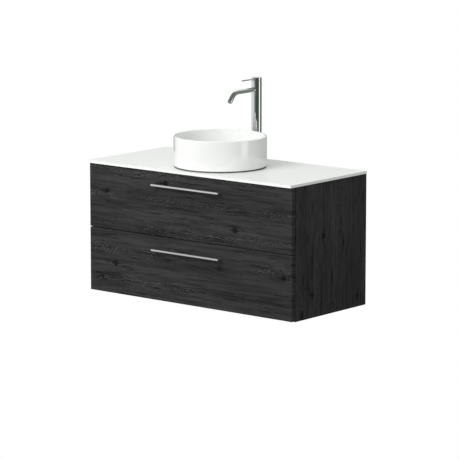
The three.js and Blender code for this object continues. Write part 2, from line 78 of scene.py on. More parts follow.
# Brightness of the studio walls by compass angle from +X towards +Y, in degrees. They fade into the
# ceiling where a direction's height passes WALL_TOP. The ceiling is dark but for a light panel over the
# back and left, whose soft edges run along X and Y.
STUDIO_WALLS = (
    (-180, 0.8), (-135, 0.78), (-112, 0.6), (-94, 0.26), (-72, 0.08), (-22, 0.07), (1, 0.09),
    (5, 1.25), (9, 1.65), (19, 1.6), (23, 0.32), (27, 0.19), (42, 0.18), (75, 0.24), (100, 0.38),
    (126, 0.74), (138, 0.74), (146, 0.28), (162, 0.28), (170, 0.8), (180, 0.8),
)
CEILING_LEVELS = (0.16, 1.0)
PANEL_SIDE = (0.85, -0.35)
PANEL_FRONT = (0.0, 0.5)
WALL_TOP = (0.19, 0.32)
DOME_LEVEL = 0.6
KEY_DIRECTION = Vector((-0.075, -0.854, 0.515))
KEY_DISTANCE = 6.0
KEY_SIZE = (3.6, 2.7)
KEY_POWER = 255.0
FLOOR_DROP = 0.38
FLOOR_HALF_SIZE = 2.2


def make_camera():
    data = bpy.data.cameras.new("camera")
    data.lens = CAMERA_LENS
    data.sensor_width = 36.0
    data.clip_start = 0.1
    data.clip_end = 60.0
    camera = bpy.data.objects.new("camera", data)
    bpy.context.scene.collection.objects.link(camera)
    azimuth = radians(CAMERA_AZIMUTH)
    elevation = radians(CAMERA_ELEVATION)
    back = Vector((sin(azimuth) * cos(elevation), -cos(azimuth) * cos(elevation), sin(elevation)))
    camera.location = CAMERA_AIM + back * CAMERA_DISTANCE
    camera.rotation_euler = (pi / 2 - elevation, 0.0, azimuth)
    bpy.context.scene.camera = camera


def make_key_light():
    data = bpy.data.lights.new("key_softbox", "AREA")
    data.shape = "RECTANGLE"
    data.size, data.size_y = KEY_SIZE
    data.energy = KEY_POWER
    light = bpy.data.objects.new("key_softbox", data)
    bpy.context.scene.collection.objects.link(light)
    centre = (CAD_LOW + CAD_HIGH) / 2
    direction = KEY_DIRECTION.normalized()
    light.location = centre + direction * KEY_DISTANCE
    light.rotation_euler = direction.to_track_quat("Z", "Y").to_euler()
    light.visible_camera = False
    light.visible_glossy = False


class Nodes:
    """A node tree, built up call by call."""

    def __init__(self, tree):
        self.tree = tree
        tree.nodes.clear()

    def add(self, kind, **settings):
        node = self.tree.nodes.new(kind)
        for name, value in settings.items():
            setattr(node, name, value)
        return node

    def feed(self, value, socket):
        """Links an output to a socket, or sets a plain value on it."""
        if isinstance(value, bpy.types.NodeSocket):
            self.tree.links.new(value, socket)
        else:
            socket.default_value = value

    def math(self, operation, first, second=0.0, third=0.0):
        node = self.add("ShaderNodeMath", operation=operation)
        for value, socket in zip((first, second, third), node.inputs):
            self.feed(value, socket)
        return node.outputs[0]

    def remap(self, value, low, high, new_low=0.0, new_high=1.0):
        """Moves a range to another one, with soft ends."""
        node = self.add("ShaderNodeMapRange", interpolation_type="SMOOTHSTEP")
        for item, socket in zip((value, low, high, new_low, new_high), node.inputs):
            self.feed(item, socket)
        return node.outputs[0]

    def split(self, vector):
        node = self.add("ShaderNodeSeparateXYZ")
        self.feed(vector, node.inputs[0])
        return node.outputs

    def join(self, x, y, z):
        node = self.add("ShaderNodeCombineXYZ")
        for value, socket in zip((x, y, z), node.inputs):
            self.feed(value, socket)
        return node.outputs[0]

    def scaled(self, vector, x, y, z):
        node = self.add("ShaderNodeVectorMath", operation="MULTIPLY")
        self.feed(vector, node.inputs[0])
        node.inputs[1].default_value = (x, y, z)
        return node.outputs[0]

    def noise(self, vector, scale, detail=2.0, roughness=0.5, distortion=0.0):
        node = self.add("ShaderNodeTexNoise")
        self.feed(vector, node.inputs["Vector"])
        node.inputs["Scale"].default_value = scale
        node.inputs["Detail"].default_value = detail
        node.inputs["Roughness"].default_value = roughness
        node.inputs["Distortion"].default_value = distortion
        return node.outputs["Fac"]

    def blend(self, factor, first, second, mode="MIX"):
        node = self.add("ShaderNodeMix", data_type="RGBA", blend_type=mode)
        self.feed(factor, node.inputs["Factor"])
        self.feed(first, node.inputs[6])
        self.feed(second, node.inputs[7])
        return node.outputs[2]

    def ramp(self, value, stops):
        node = self.add("ShaderNodeValToRGB")
        elements = node.color_ramp.elements
        elements[0].position, elements[0].color = stops[0]
        elements[1].position, elements[1].color = stops[-1]
        for position, color in stops[1:-1]:
            elements.new(position).color = color
        self.feed(value, node.inputs[0])
        return node.outputs[0]


def studio_tint(level):
    """A grey of the studio, with its faint green cast."""
    weak = max(level * 0.97 - 0.012, 0.0)
    return (weak, level, weak, 1.0)


def make_world():
    """Even light all round; what shines reflects a studio with dark and bright walls."""
    world = bpy.data.worlds.new("studio")
    bpy.context.scene.world = world
    world.use_nodes = True
    nodes = Nodes(world.node_tree)
    x, y, z = nodes.split(nodes.add("ShaderNodeTexCoord").outputs["Generated"])
    turn = nodes.math("MULTIPLY_ADD", nodes.math("ARCTAN2", y, x), 0.5 / pi, 0.5)
    walls = nodes.ramp(turn, [((angle + 180) / 360, studio_tint(level)) for angle, level in STUDIO_WALLS])
    dark, light = CEILING_LEVELS
    panel = nodes.math("MULTIPLY", nodes.remap(x, *PANEL_SIDE), nodes.remap(y, *PANEL_FRONT))
    ceiling = nodes.blend(panel, studio_tint(dark), studio_tint(light))
    studio = nodes.blend(nodes.remap(z, *WALL_TOP), walls, ceiling)
    rays = nodes.add("ShaderNodeLightPath").outputs
    dome = (DOME_LEVEL, DOME_LEVEL, DOME_LEVEL, 1.0)
    seen = nodes.blend(rays["Is Glossy Ray"], dome, studio)
    seen = nodes.blend(rays["Is Camera Ray"], seen, (1.0, 1.0, 1.0, 1.0))
    background = nodes.add("ShaderNodeBackground")
    nodes.feed(seen, background.inputs["Color"])
    nodes.feed(background.outputs[0], nodes.add("ShaderNodeOutputWorld").inputs[0])
    bpy.context.scene.view_settings.view_transform = "Standard"


def make_floor():
    """A pale floor well under the hanging cabinet, lit enough to join the white background."""
    material = bpy.data.materials.new("floor_white")
    material.use_nodes = True
    nodes = Nodes(material.node_tree)
    shader = nodes.add("ShaderNodeBsdfPrincipled")
    shader.inputs["Base Color"].default_value = (0.25, 0.25, 0.25, 1.0)
    shader.inputs["Roughness"].default_value = 0.9
    white = nodes.add("ShaderNodeEmission")
    choose = nodes.add("ShaderNodeMixShader")
    nodes.feed(nodes.add("ShaderNodeLightPath").outputs["Is Camera Ray"], choose.inputs[0])
    nodes.feed(shader.outputs[0], choose.inputs[1])
    nodes.feed(white.outputs[0], choose.inputs[2])
    nodes.feed(choose.outputs[0], nodes.add("ShaderNodeOutputMaterial").inputs[0])
    level = CAD_LOW.z - FLOOR_DROP
    middle = (CAD_LOW + CAD_HIGH) / 2
    bm = bmesh.new()
    corners = [(-1, -1), (1, -1), (1, 1), (-1, 1)]
    verts = [bm.verts.new((middle.x + FLOOR_HALF_SIZE * x, middle.y + FLOOR_HALF_SIZE * y, level))
             for x, y in corners]
    bm.faces.new(verts)
    mesh = bpy.data.meshes.new("floor")
    bm.to_mesh(mesh)
    bm.free()
    mesh.materials.append(material)
    floor = bpy.data.objects.new("floor", mesh)
    bpy.context.scene.collection.objects.link(floor)


# ---------------------------------------------------------------- materials
class Surface(Nodes):
    """A principled material in the making. Its texture coordinates are the part's own, in metres."""

    def __init__(self, name, roughness, metallic=0.0):
        self.material = bpy.data.materials.new(name)
        self.material.use_nodes = True
        super().__init__(self.material.node_tree)
        self.shader = self.add("ShaderNodeBsdfPrincipled")
        self.feed(self.shader.outputs[0], self.add("ShaderNodeOutputMaterial").inputs[0])
        self.place = self.add("ShaderNodeTexCoord").outputs["Object"]
        self.set("Roughness", roughness)
        self.set("Metallic", metallic)

    def set(self, socket, value):
        self.feed(value, self.shader.inputs[socket])

    def relief(self, height, strength, depth):
        bump = self.add("ShaderNodeBump")
        bump.inputs["Strength"].default_value = strength
        bump.inputs["Distance"].default_value = depth
        self.feed(height, bump.inputs["Height"])
        self.set("Normal", bump.outputs[0])


def grey(level, warmth=0.0):
    return (level * (1 + warmth), level, level * (1 - warmth), 1.0)


# The wood's pattern, in metres: how far apart its knots are along and across the grain, how wide a row of
# cathedral figures is, and how far apart the growth lines are.
KNOT_SPACING = (0.3, 0.12)
FIGURE_ROW = 0.055
GROWTH_LINE = 0.0085


def knots(s, run, rise, rarity):
    """Scattered knots, the more the lower the rarity. Returns a function of two reaches in metres that
    fades from 1 at a knot's heart to 0 there, and the distance across the grain from the nearest heart."""
    spacing_run, spacing_rise = KNOT_SPACING
    cells = s.add("ShaderNodeTexVoronoi", feature="F1")
    cells.inputs["Scale"].default_value = 1.0
    cells.inputs["Randomness"].default_value = 0.85
    s.feed(s.scaled(s.join(run, rise, 0.0), 1 / spacing_run, 1 / spacing_rise, 0.0), cells.inputs["Vector"])
    heart = s.split(cells.outputs["Position"])
    along = s.math("SUBTRACT", run, s.math("MULTIPLY", heart[0], spacing_run))
    across = s.math("SUBTRACT", rise, s.math("MULTIPLY", heart[1], spacing_rise))
    present = s.remap(s.split(cells.outputs["Color"])[0], rarity, rarity + 0.4)
    fray = s.noise(s.scaled(s.join(run, rise, 0.0), 50.0, 90.0, 0.0), 1.0, 2.0)

    def fade(reach_run, reach_rise):
        off = s.join(s.math("DIVIDE", along, reach_run), s.math("DIVIDE", across, reach_rise), 0.0)
        length = s.add("ShaderNodeVectorMath", operation="LENGTH")
        s.feed(off, length.inputs[0])
        frayed = s.math("MULTIPLY", length.outputs["Value"], s.remap(fray, 0.3, 0.7, 0.55, 1.45))
        return s.math("MULTIPLY", s.remap(frayed, 1.0, 0.1), present)

    return fade, across


def growth_rings(s, run, rise, deep, bulge):
    """Growth lines of flat-sawn boards, from -1 (dark) to 1 (light): rows of small jagged cathedral
    figures between stretches of plain straight grain."""
    place = s.join(run, rise, deep)
    drift = s.math("SUBTRACT", s.noise(s.scaled(place, 1.8, 7.0, 3.0), 1.0, 2.0), 0.5)
    ripple = s.math("SUBTRACT", s.noise(s.scaled(place, 16.0, 40.0, 3.0), 1.0, 2.0), 0.5)
    jag = s.math("SUBTRACT", s.noise(s.scaled(place, 70.0, 150.0, 3.0), 1.0, 2.0), 0.5)
    level = s.math("MULTIPLY_ADD", drift, 0.09, s.math("ADD", rise, bulge))
    level = s.math("MULTIPLY_ADD", ripple, 0.02, level)
    row = s.math("PINGPONG", s.math("ADD", level, 0.61), FIGURE_ROW)
    slope = s.math("MULTIPLY", s.remap(s.noise(s.scaled(place, 5.0, 2.0, 1.0), 1.0, 2.0), 0.25, 0.75), 0.1)
    radius = s.math("MULTIPLY_ADD", jag, 0.016, s.math("ADD", slope, row))
    rings = s.math("SINE", s.math("MULTIPLY", radius, 2 * pi / GROWTH_LINE))
    patch = s.remap(s.noise(s.scaled(place, 2.4, 14.0, 3.0), 1.0, 1.0), 0.34, 0.56)
    worn = s.remap(s.noise(s.scaled(place, 18.0, 90.0, 3.0), 1.0, 1.0), 0.35, 0.6, 0.45, 1.0)
    figure = s.math("MULTIPLY", s.remap(row, 0.03, 0.006, 0.15, 1.0), s.math("MULTIPLY", patch, worn))
    return s.math("MULTIPLY", rings, figure)


def black_oak(name, along, across, through, shade, figure, dashes, rarity):
    """Black stained wood grain: cathedral figures, streaks, pores and a few knots.
    along, across and through are the axes (0, 1, 2) of the grain, the face and its thickness. figure is
    how strong the growth lines are, dashes how light the short dark strokes stay, and rarity how few
    knots there are."""
    s = Surface(name, 0.5)
    axes = s.split(s.place)
    run, rise, deep = axes[along], axes[across], axes[through]
    place = s.join(run, rise, deep)
    fade, from_heart = knots(s, run, rise, rarity)
    eye = fade(0.09, 0.036)
    heart = s.math("MAXIMUM", fade(0.017, 0.013), s.math("MULTIPLY", fade(0.05, 0.007), 0.6))
    blush = fade(0.05, 0.02)
    bulge = s.math("MULTIPLY", s.math("MULTIPLY", from_heart, eye), -0.8)
    rings = growth_rings(s, run, rise, deep, bulge)

    board = s.noise(s.scaled(place, 0.9, 11.0, 2.0), 1.0, 3.0)
    streak = s.noise(s.scaled(place, 5.0, 95.0, 8.0), 1.0, 3.0, 0.6)
    vein = s.noise(s.scaled(place, 3.5, 40.0, 5.0), 1.0, 2.0)
    dash = s.noise(s.scaled(place, 11.0, 130.0, 8.0), 1.0, 2.0)
    fibre = s.noise(s.scaled(place, 20.0, 420.0, 60.0), 1.0, 3.0, 0.6)
    pore = s.noise(s.scaled(place, 55.0, 1500.0, 300.0), 1.0, 1.0)

    tone = s.math("MULTIPLY_ADD", rings, figure, 1.0)
    tone = s.math("MULTIPLY", tone, s.remap(board, 0.34, 0.64, 0.8, 1.2))
    tone = s.math("MULTIPLY", tone, s.remap(streak, 0.32, 0.64, 0.76, 1.24))
    tone = s.math("MULTIPLY", tone, s.remap(vein, 0.58, 0.7, 1.0, 0.6))
    tone = s.math("MULTIPLY", tone, s.remap(dash, 0.56, 0.68, 1.0, dashes))
    tone = s.math("MULTIPLY", tone, s.remap(fibre, 0.25, 0.75, 0.88, 1.12))
    tone = s.math("MULTIPLY", tone, s.remap(heart, 0.0, 0.6, 1.0, 0.2))
    ash = (shade, shade, shade, 1.0)
    umber = (shade * 1.05, shade * 0.9, shade * 0.94, 1.0)
    color = s.blend(blush, ash, umber)
    s.set("Base Color", s.blend(1.0, color, s.join(tone, tone, tone), "MULTIPLY"))
    s.set("Roughness", s.math("MULTIPLY_ADD", streak, 0.16, 0.46))
    s.set("Specular IOR Level", 0.15)
    height = s.math("MULTIPLY_ADD", pore, 0.4, s.math("MULTIPLY", fibre, 0.5))
    s.relief(s.math("MULTIPLY_ADD", rings, 0.3, height), 0.3, 0.0003)
    return s.material


def melamine(name, shade):
    """Melamine-faced board: an even colour with a fine pearl grain."""
    s = Surface(name, 0.55)
    grain = s.noise(s.place, 900.0, 2.0)
    cloud = s.noise(s.place, 6.0, 2.0)
    tone = s.remap(s.math("MULTIPLY_ADD", cloud, 0.4, s.math("MULTIPLY", grain, 0.6)), 0.3, 0.7)
    s.set("Base Color", s.blend(tone, grey(shade * 0.88), grey(shade * 1.12)))
    s.set("Roughness", s.math("MULTIPLY_ADD", cloud, 0.14, 0.5))
    s.relief(grain, 0.2, 0.0001)
    return s.material


def solid_surface():
    """White mineral countertop: a satin face with hardly visible specks and clouds."""
    s = Surface("countertop_white", 0.22)
    cloud = s.noise(s.place, 5.0, 3.0)
    speck = s.noise(s.place, 1400.0, 1.0)
    white = s.blend(cloud, (0.885, 0.9, 0.885, 1.0), (0.905, 0.92, 0.905, 1.0))
    color = s.blend(s.remap(speck, 0.68, 0.8, 0.0, 0.12), white, (0.6, 0.61, 0.6, 1.0))
    s.set("Base Color", color)
    s.set("Roughness", s.math("MULTIPLY_ADD", cloud, 0.1, 0.3))
    s.set("Specular IOR Level", 0.35)
    s.relief(s.noise(s.place, 12.0, 1.0), 0.02, 0.0002)
    return s.material


def glaze():
    """White sanitary glaze over fired clay, pooled a little unevenly."""
    s = Surface("basin_glaze", 0.1)
    pool = s.noise(s.place, 9.0, 2.0)
    peel = s.noise(s.place, 160.0, 2.0)
    s.set("Base Color", s.blend(pool, (0.87, 0.885, 0.87, 1.0), (0.9, 0.912, 0.9, 1.0)))
    s.set("Roughness", s.math("MULTIPLY_ADD", pool, 0.08, 0.07))
    s.set("Coat Weight", 1.0)
    s.set("Coat IOR", 1.55)
    s.set("Coat Roughness", 0.04)
    s.relief(peel, 0.03, 0.0004)
    return s.material


def polished_chrome():
    s = Surface("chrome_polished", 0.05, 1.0)
    haze = s.noise(s.place, 40.0, 3.0)
    s.set("Base Color", s.blend(haze, (0.8, 0.81, 0.805, 1.0), (0.84, 0.85, 0.845, 1.0)))
    s.set("Roughness", s.math("MULTIPLY_ADD", haze, 0.05, 0.02))
    s.relief(s.noise(s.place, 25.0, 1.0), 0.01, 0.0001)
    return s.material


def brushed(name, shade, along, roughness=0.3):
    """Metal brushed along one axis: fine scratches in colour, gloss and relief."""
    s = Surface(name, roughness, 1.0)
    stretch = [900.0, 900.0, 900.0]
    stretch[along] = 9.0
    scratch = s.noise(s.scaled(s.place, *stretch), 1.0, 3.0, 0.65)
    smudge = s.noise(s.place, 25.0, 2.0)
    tone = s.remap(scratch, 0.3, 0.7)
    dark = (shade * 0.86, shade * 0.84, shade * 0.87, 1.0)
    light = (shade * 1.09, shade * 1.065, shade * 1.1, 1.0)
    s.set("Base Color", s.blend(tone, dark, light))
    wear = s.math("MULTIPLY_ADD", smudge, 0.1, roughness - 0.06)
    s.set("Roughness", s.math("MULTIPLY_ADD", scratch, 0.08, wear))
    s.set("Anisotropic", 0.5)
    s.relief(scratch, 0.12, 0.0001)
    return s.material


def galvanised(name, shade):
    """Zinc plate: a cool sheen with passivation clouds and rolling marks."""
    s = Surface(name, 0.38, 1.0)
    cloud = s.noise(s.place, 35.0, 4.0, 0.6)
    roll = s.noise(s.scaled(s.place, 500.0, 6.0, 500.0), 1.0, 2.0)
    cool = (shade * 0.86, shade * 0.9, shade * 0.94, 1.0)
    warm = (shade * 1.08, shade * 1.06, shade, 1.0)
    s.set("Base Color", s.blend(s.remap(cloud, 0.3, 0.7), cool, warm))
    s.set("Roughness", s.math("MULTIPLY_ADD", cloud, 0.25, 0.24))
    s.relief(roll, 0.1, 0.0001)
    return s.material


def powder_coat(name, shade):
    s = Surface(name, 0.45)
    grain = s.noise(s.place, 1100.0, 2.0)
    cloud = s.noise(s.place, 12.0, 2.0)
    s.set("Base Color", s.blend(cloud, grey(shade * 0.92), grey(shade * 1.08)))
    s.set("Roughness", s.math("MULTIPLY_ADD", grain, 0.16, 0.36))
    s.relief(grain, 0.25, 0.00012)
    return s.material


def moulded(name, shade):
    """Moulded plastic with a spark-eroded grain."""
    s = Surface(name, 0.5)
    grain = s.noise(s.place, 1600.0, 2.0)
    flow = s.noise(s.place, 18.0, 2.0)
    s.set("Base Color", s.blend(flow, grey(shade * 0.94), grey(shade * 1.06)))
    s.set("Roughness", s.math("MULTIPLY_ADD", grain, 0.14, 0.42))
    s.relief(grain, 0.2, 0.0001)
    return s.material


def rubber():
    s = Surface("seal_rubber", 0.8)
    dust = s.noise(s.place, 300.0, 3.0)
    # The seals' own dark grey; it is also the colour of the bead under the basin's edge, where it is painted
    # shadow standing in for the contact shadow.
    s.set("Base Color", s.blend(dust, grey(0.07), grey(0.12)))
    s.set("Roughness", s.math("MULTIPLY_ADD", dust, 0.2, 0.65))
    s.relief(dust, 0.2, 0.0001)
    return s.material


def brass():
    """Machined brass: turning marks and a little tarnish."""
    s = Surface("fitting_brass", 0.3, 1.0)
    marks = s.noise(s.scaled(s.place, 60.0, 60.0, 2600.0), 1.0, 1.0)
    tarnish = s.noise(s.place, 60.0, 3.0)
    s.set("Base Color", s.blend(tarnish, (0.72, 0.54, 0.27, 1.0), (0.52, 0.38, 0.2, 1.0)))
    s.set("Roughness", s.math("MULTIPLY_ADD", tarnish, 0.25, 0.2))
    s.relief(marks, 0.15, 0.0001)
    return s.material


X, Y, Z = 0, 1, 2
MATERIALS = {
    "front_wood": black_oak("black_oak_front", X, Z, Y, 0.0308, 0.8, 0.55, 0.4),
    # The side is the same laminate as the fronts, but its shade is set lighter (0.033 against 0.0308): painted
    # light that makes up for the little light the side gets.
    "side_wood": black_oak("black_oak_side", Z, Y, X, 0.033, 0.35, 0.25, 0.15),
    "carcass_board": melamine("carcass_melamine", 0.03),
    "bracket_steel": galvanised("bracket_zinc", 0.6),
    "countertop": solid_surface(),
    "basin_glaze": glaze(),
    "chrome": polished_chrome(),
    "seal_rubber": rubber(),
    "fitting_brass": brass(),
    "cartridge_plastic": moulded("cartridge_plastic", 0.3),
    "handle_steel": brushed("handle_brushed_steel", 0.9, X),
    "drawer_metal": powder_coat("drawer_powder_coat", 0.1),
    "drawer_board": melamine("drawer_melamine", 0.09),
    "siphon_plastic": moulded("siphon_plastic", 0.12),
    "runner_steel": galvanised("runner_zinc", 0.55),
}


# ---------------------------------------------------------------- mesh helpers
SHARP = radians(32)


def finished(name, mesh, node):
    """Makes a piece of a mesh in row coordinates: it takes the material of the node's slot and rides with the
    node's body.
    """
    mesh.name = name
    mesh.materials.clear()
    mesh.materials.append(MATERIALS[SLOT_OF[node]])
    if not mesh.has_custom_normals:
        mesh.polygons.foreach_set("use_smooth", [True] * len(mesh.polygons))
        mesh.set_sharp_from_angle(angle=SHARP)
    piece = bpy.data.objects.new(name, mesh)
    bpy.context.scene.collection.objects.link(piece)
    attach(piece, BODY_OF[node])
    return piece


def mesh_of(bm):
    bmesh.ops.recalc_face_normals(bm, faces=bm.faces[:])
    mesh = bpy.data.meshes.new("work")
    bm.to_mesh(mesh)
    bm.free()
    return mesh


def applied(mesh, *modifiers):
    """The mesh with modifiers applied; each is (type, {setting: value})."""
    work = bpy.data.objects.new("work", mesh)
    bpy.context.scene.collection.objects.link(work)
    for kind, settings in modifiers:
        modifier = work.modifiers.new(kind.lower(), kind)
        for name, value in settings.items():
            setattr(modifier, name, value)
    graph = bpy.context.evaluated_depsgraph_get()
    result = bpy.data.meshes.new_from_object(work.evaluated_get(graph))
    bpy.data.objects.remove(work)
    return result


def combined(mesh, tool, operation):
    """Boolean of two closed meshes: DIFFERENCE, UNION or INTERSECT."""
    cutter = bpy.data.objects.new("cutter", tool)
    bpy.context.scene.collection.objects.link(cutter)
    settings = {"operation": operation, "object": cutter, "solver": "EXACT"}
    result = applied(mesh, ("BOOLEAN", settings))
    bpy.data.objects.remove(cutter)
    return result


def eased(mesh, width, segments=3):
    """The mesh with its sharp edges rounded over, and its large faces shaded flat."""
    mesh.polygons.foreach_set("use_smooth", [True] * len(mesh.polygons))
    settings = {"width": width, "segments": segments, "limit_method": "ANGLE", "angle_limit": SHARP,
                "harden_normals": False, "use_clamp_overlap": True}
    return applied(mesh, ("BEVEL", settings), ("WEIGHTED_NORMAL", {"keep_sharp": True}))


def softened(node, name, width, segments=3):
    """A copy of a flat-sided CAD node with eased edges, which stands for the node."""
    bm = bmesh.new()
    bm.from_mesh(frame["nodes"][node].data)
    bmesh.ops.remove_doubles(bm, verts=bm.verts[:], dist=0.01 * MM)
    bmesh.ops.dissolve_limit(bm, angle_limit=radians(1), verts=bm.verts[:], edges=bm.edges[:])
    piece = finished(name, eased(mesh_of(bm), width, segments), node)
    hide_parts(node)
    return piece


def rounded(corners):
    """An outline with its corners rounded. A corner is (x, y), or (x, y, radius)."""
    points = []
    for i, (x, y, *radius) in enumerate(corners):
        here = Vector((x, y))
        if not radius:
            points.append(here)
            continue
        before = Vector(corners[i - 1][:2]) - here
        after = Vector(corners[(i + 1) % len(corners)][:2]) - here
        half = before.angle(after) / 2
        middle = here + (before.normalized() + after.normalized()).normalized() * radius[0] / sin(half)
        first = here + before.normalized() * radius[0] / tan(half) - middle
        last = here + after.normalized() * radius[0] / tan(half) - middle
        swing = first.angle_signed(last)
        steps = max(3, ceil(abs(degrees(swing)) / 90 * (4 + radius[0] * 0.5)))
        start = atan2(first.y, first.x)
        for k in range(steps + 1):
            angle = start - swing * k / steps
            points.append(middle + radius[0] * Vector((cos(angle), sin(angle))))
    return [(p.x, p.y) for p in points]


def arc(cx, cy, radius, start, end, steps):
    """Points of an arc round (cx, cy), with angles in degrees."""
    angles = [radians(start + (end - start) * k / steps) for k in range(steps + 1)]
    return [(cx + radius * cos(a), cy + radius * sin(a)) for a in angles]


def circle(cx, cy, radius, steps):
    return arc(cx, cy, radius, 0, 360 - 360 / steps, steps - 1)


def upright(x, y):
    """Places a turned body's (radius, height, angle), in mm, round a vertical axis."""
    return lambda r, h, a: Vector((x + r * MM * cos(a), y + r * MM * sin(a), h * MM))


def lying(x, z):
    """The same round an axis along Y."""
    return lambda r, h, a: Vector((x + r * MM * cos(a), h * MM, z + r * MM * sin(a)))


def turned(profile, place, segments=96, ring=True):
    """A turned body. The profile lists (radius, height) in mm and closes on itself, or runs between
    two points on the axis where ring is False."""
    bm = bmesh.new()
    rows = []
    for r, h in profile:
        if r < 1e-6:
            rows.append([bm.verts.new(place(0.0, h, 0.0))] * segments)
        else:
            rows.append([bm.verts.new(place(r, h, 2 * pi * k / segments)) for k in range(segments)])
    pairs = list(zip(rows, rows[1:] + rows[:1])) if ring else list(zip(rows, rows[1:]))
    for low, high in pairs:
        for k in range(segments):
            n = (k + 1) % segments
            face = [low[k], low[n], high[n], high[k]]
            bm.faces.new(list(dict.fromkeys(face)))
    return mesh_of(bm)


def rod(radius, low, high, place, segments):
    """A plain solid cylinder from low to high, for joining or cutting."""
    return turned([(0, low), (radius, low), (radius, high), (0, high)], place, segments, ring=False)


def slab(outline, holes, place, low, high):
    """An outline with holes, extruded from low to high. place maps (u, v, height), in mm, to a point."""
    bm = bmesh.new()
    for loop in (outline, *holes):
        verts = [bm.verts.new(place(u, v, low)) for u, v in loop]
        for k, vert in enumerate(verts):
            bm.edges.new((vert, verts[(k + 1) % len(verts)]))
    bmesh.ops.triangle_fill(bm, edges=bm.edges[:], use_beauty=True)
    shift = place(0, 0, high) - place(0, 0, low)
    made = bmesh.ops.extrude_face_region(bm, geom=bm.faces[:])["geom"]
    bmesh.ops.translate(bm, verts=[g for g in made if isinstance(g, bmesh.types.BMVert)], vec=shift)
    return mesh_of(bm)


def flat(x, y):
    """Places a slab's outline in the XY plane, with its thickness along Z."""
    return lambda u, v, h: Vector((x + u * MM, y + v * MM, h * MM))


def sleeve(inner, outer, low, high, edge=0.4):
    """Profile of a plain ring with eased edges."""
    return rounded([(inner, low, edge), (outer, low, edge), (outer, high, edge), (inner, high, edge)])


def turned_piece(name, node, profile, place, segments=96, ring=True):
    piece = finished(name, turned(profile, place, segments, ring), node)
    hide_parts(node)
    return piece


def in_mm(node):
    """Lowest and highest corner of a CAD node, in mm."""
    low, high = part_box(node)
    return low / MM, high / MM


# ---------------------------------------------------------------- cabinet and drawers
WASTE_HOLE_RADIUS = 23.0
TAP_HOLE_RADIUS = 17.5


def cabinet_boards():
    for side in ("left", "right"):
        softened(f"{side}_side_panel", f"{side}_side_board", 0.7 * MM)
        softened(f"hanging_bracket_{side}", f"{side}_wall_bracket", 0.8 * MM)
    for node in ("bottom_panel", "front_top_rail", "back_top_rail", "back_bottom_rail"):
        softened(node, f"{node}_board", 0.5 * MM)


def countertop():
    low, high = in_mm("countertop")
    basin_low, basin_high = in_mm("basin")
    tap_low, tap_high = in_mm("tap_column")
    corner = 1.5
    outline = rounded([(low.x, low.y, corner), (high.x, low.y, corner), (high.x, high.y, corner),
                       (low.x, high.y, corner)])
    waste_hole = circle(0, (basin_low.y + basin_high.y) / 2, WASTE_HOLE_RADIUS, 64)
    tap_hole = circle(0, (tap_low.y + tap_high.y) / 2, TAP_HOLE_RADIUS, 56)
    mesh = slab(outline, [waste_hole, tap_hole], flat(0, 0), low.z, high.z)
    piece = finished("countertop_slab", eased(mesh, 0.8 * MM), "countertop")
    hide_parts("countertop")


def drawers():
    for level in ("upper", "lower"):
        softened(f"{level}_drawer_front", f"{level}_front_board", 0.8 * MM)
        softened(f"{level}_drawer_handle", f"{level}_bar_handle", 0.9 * MM, 4)
        softened(f"{level}_drawer_base", f"{level}_base_board", 0.4 * MM)
        for side in ("left", "right"):
            softened(f"{level}_drawer_side_{side}", f"{level}_metal_side_{side}", 0.8 * MM)
            for member in ("cabinet", "middle", "drawer"):
                name = f"{level}_runner_{member}_{side}"
                softened(name, f"{name}_profile", 0.25 * MM, 2)
    softened("upper_drawer_siphon_wall", "upper_siphon_surround", 0.6 * MM)
    for node in ("upper_drawer_back_left", "upper_drawer_back_right", "lower_drawer_back"):
        softened(node, f"{node}_board", 0.5 * MM)


# ---------------------------------------------------------------- basin and waste
BASIN_WALL = 8.0
BASIN_FLOOR = 14.0
BASIN_FALL = 4.0
BASIN_INNER_ROUND = 32.0
BASIN_EDGE_ROUND = 5.0
BASIN_FOOT_GAP = 4.5
BASIN_FOOT_INSET = 7.0
BASIN_FOOT_WIDTH = 16.0
# How far in from the basin's edge the dark bead sits, in mm; the bead is painted shadow under the basin's edge.
BASIN_SHADOW_BEAD_INSET = 2.6
BASIN_SEGMENTS = 176
DRAIN_HOLE = 23.0
DRAIN_RECESS = 34.0
RECESS_DEPTH = 4.5


def basin_axis():
    low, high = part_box("basin")
    return (low.x + high.x) / 2, (low.y + high.y) / 2


def basin():
    low, high = in_mm("basin")
    radius = (high.x - low.x) / 2
    inside = radius - BASIN_WALL
    rim = BASIN_WALL / 2
    top = high.z
    bottom = low.z
    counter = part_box("countertop")[1].z / MM
    floor = counter + BASIN_FLOOR
    edge = counter + BASIN_FOOT_GAP
    foot_outer = radius - BASIN_FOOT_INSET
    foot_inner = foot_outer - BASIN_FOOT_WIDTH
    bowl_edge = inside - BASIN_INNER_ROUND
    profile = rounded([(DRAIN_HOLE, bottom, 1.0), (DRAIN_HOLE + 12, bottom, 1.0),
                       (DRAIN_HOLE + 14, bottom + 4, 1.0), (foot_inner - 3, bottom + 4, 1.0),
                       (foot_inner, bottom, 0.6), (foot_outer, bottom, 0.6), (foot_outer, edge, 1.0),
                       (radius, edge, BASIN_EDGE_ROUND), (radius, top - rim)])
    profile += arc(radius - rim, top - rim, rim, 0, 180, 14)[1:]
    profile += arc(bowl_edge, floor + BASIN_FALL + BASIN_INNER_ROUND, BASIN_INNER_ROUND, 0, -90, 20)
    profile += rounded([(bowl_edge - 1, floor + BASIN_FALL), (DRAIN_RECESS, floor, 1.5),
                        (DRAIN_RECESS - 1.2, floor - RECESS_DEPTH, 0.8),
                        (DRAIN_HOLE, floor - RECESS_DEPTH, 0.8), (DRAIN_HOLE, bottom + 1)])[1:-1]
    turned_piece("basin_bowl", "basin", profile, upright(*basin_axis()), BASIN_SEGMENTS)


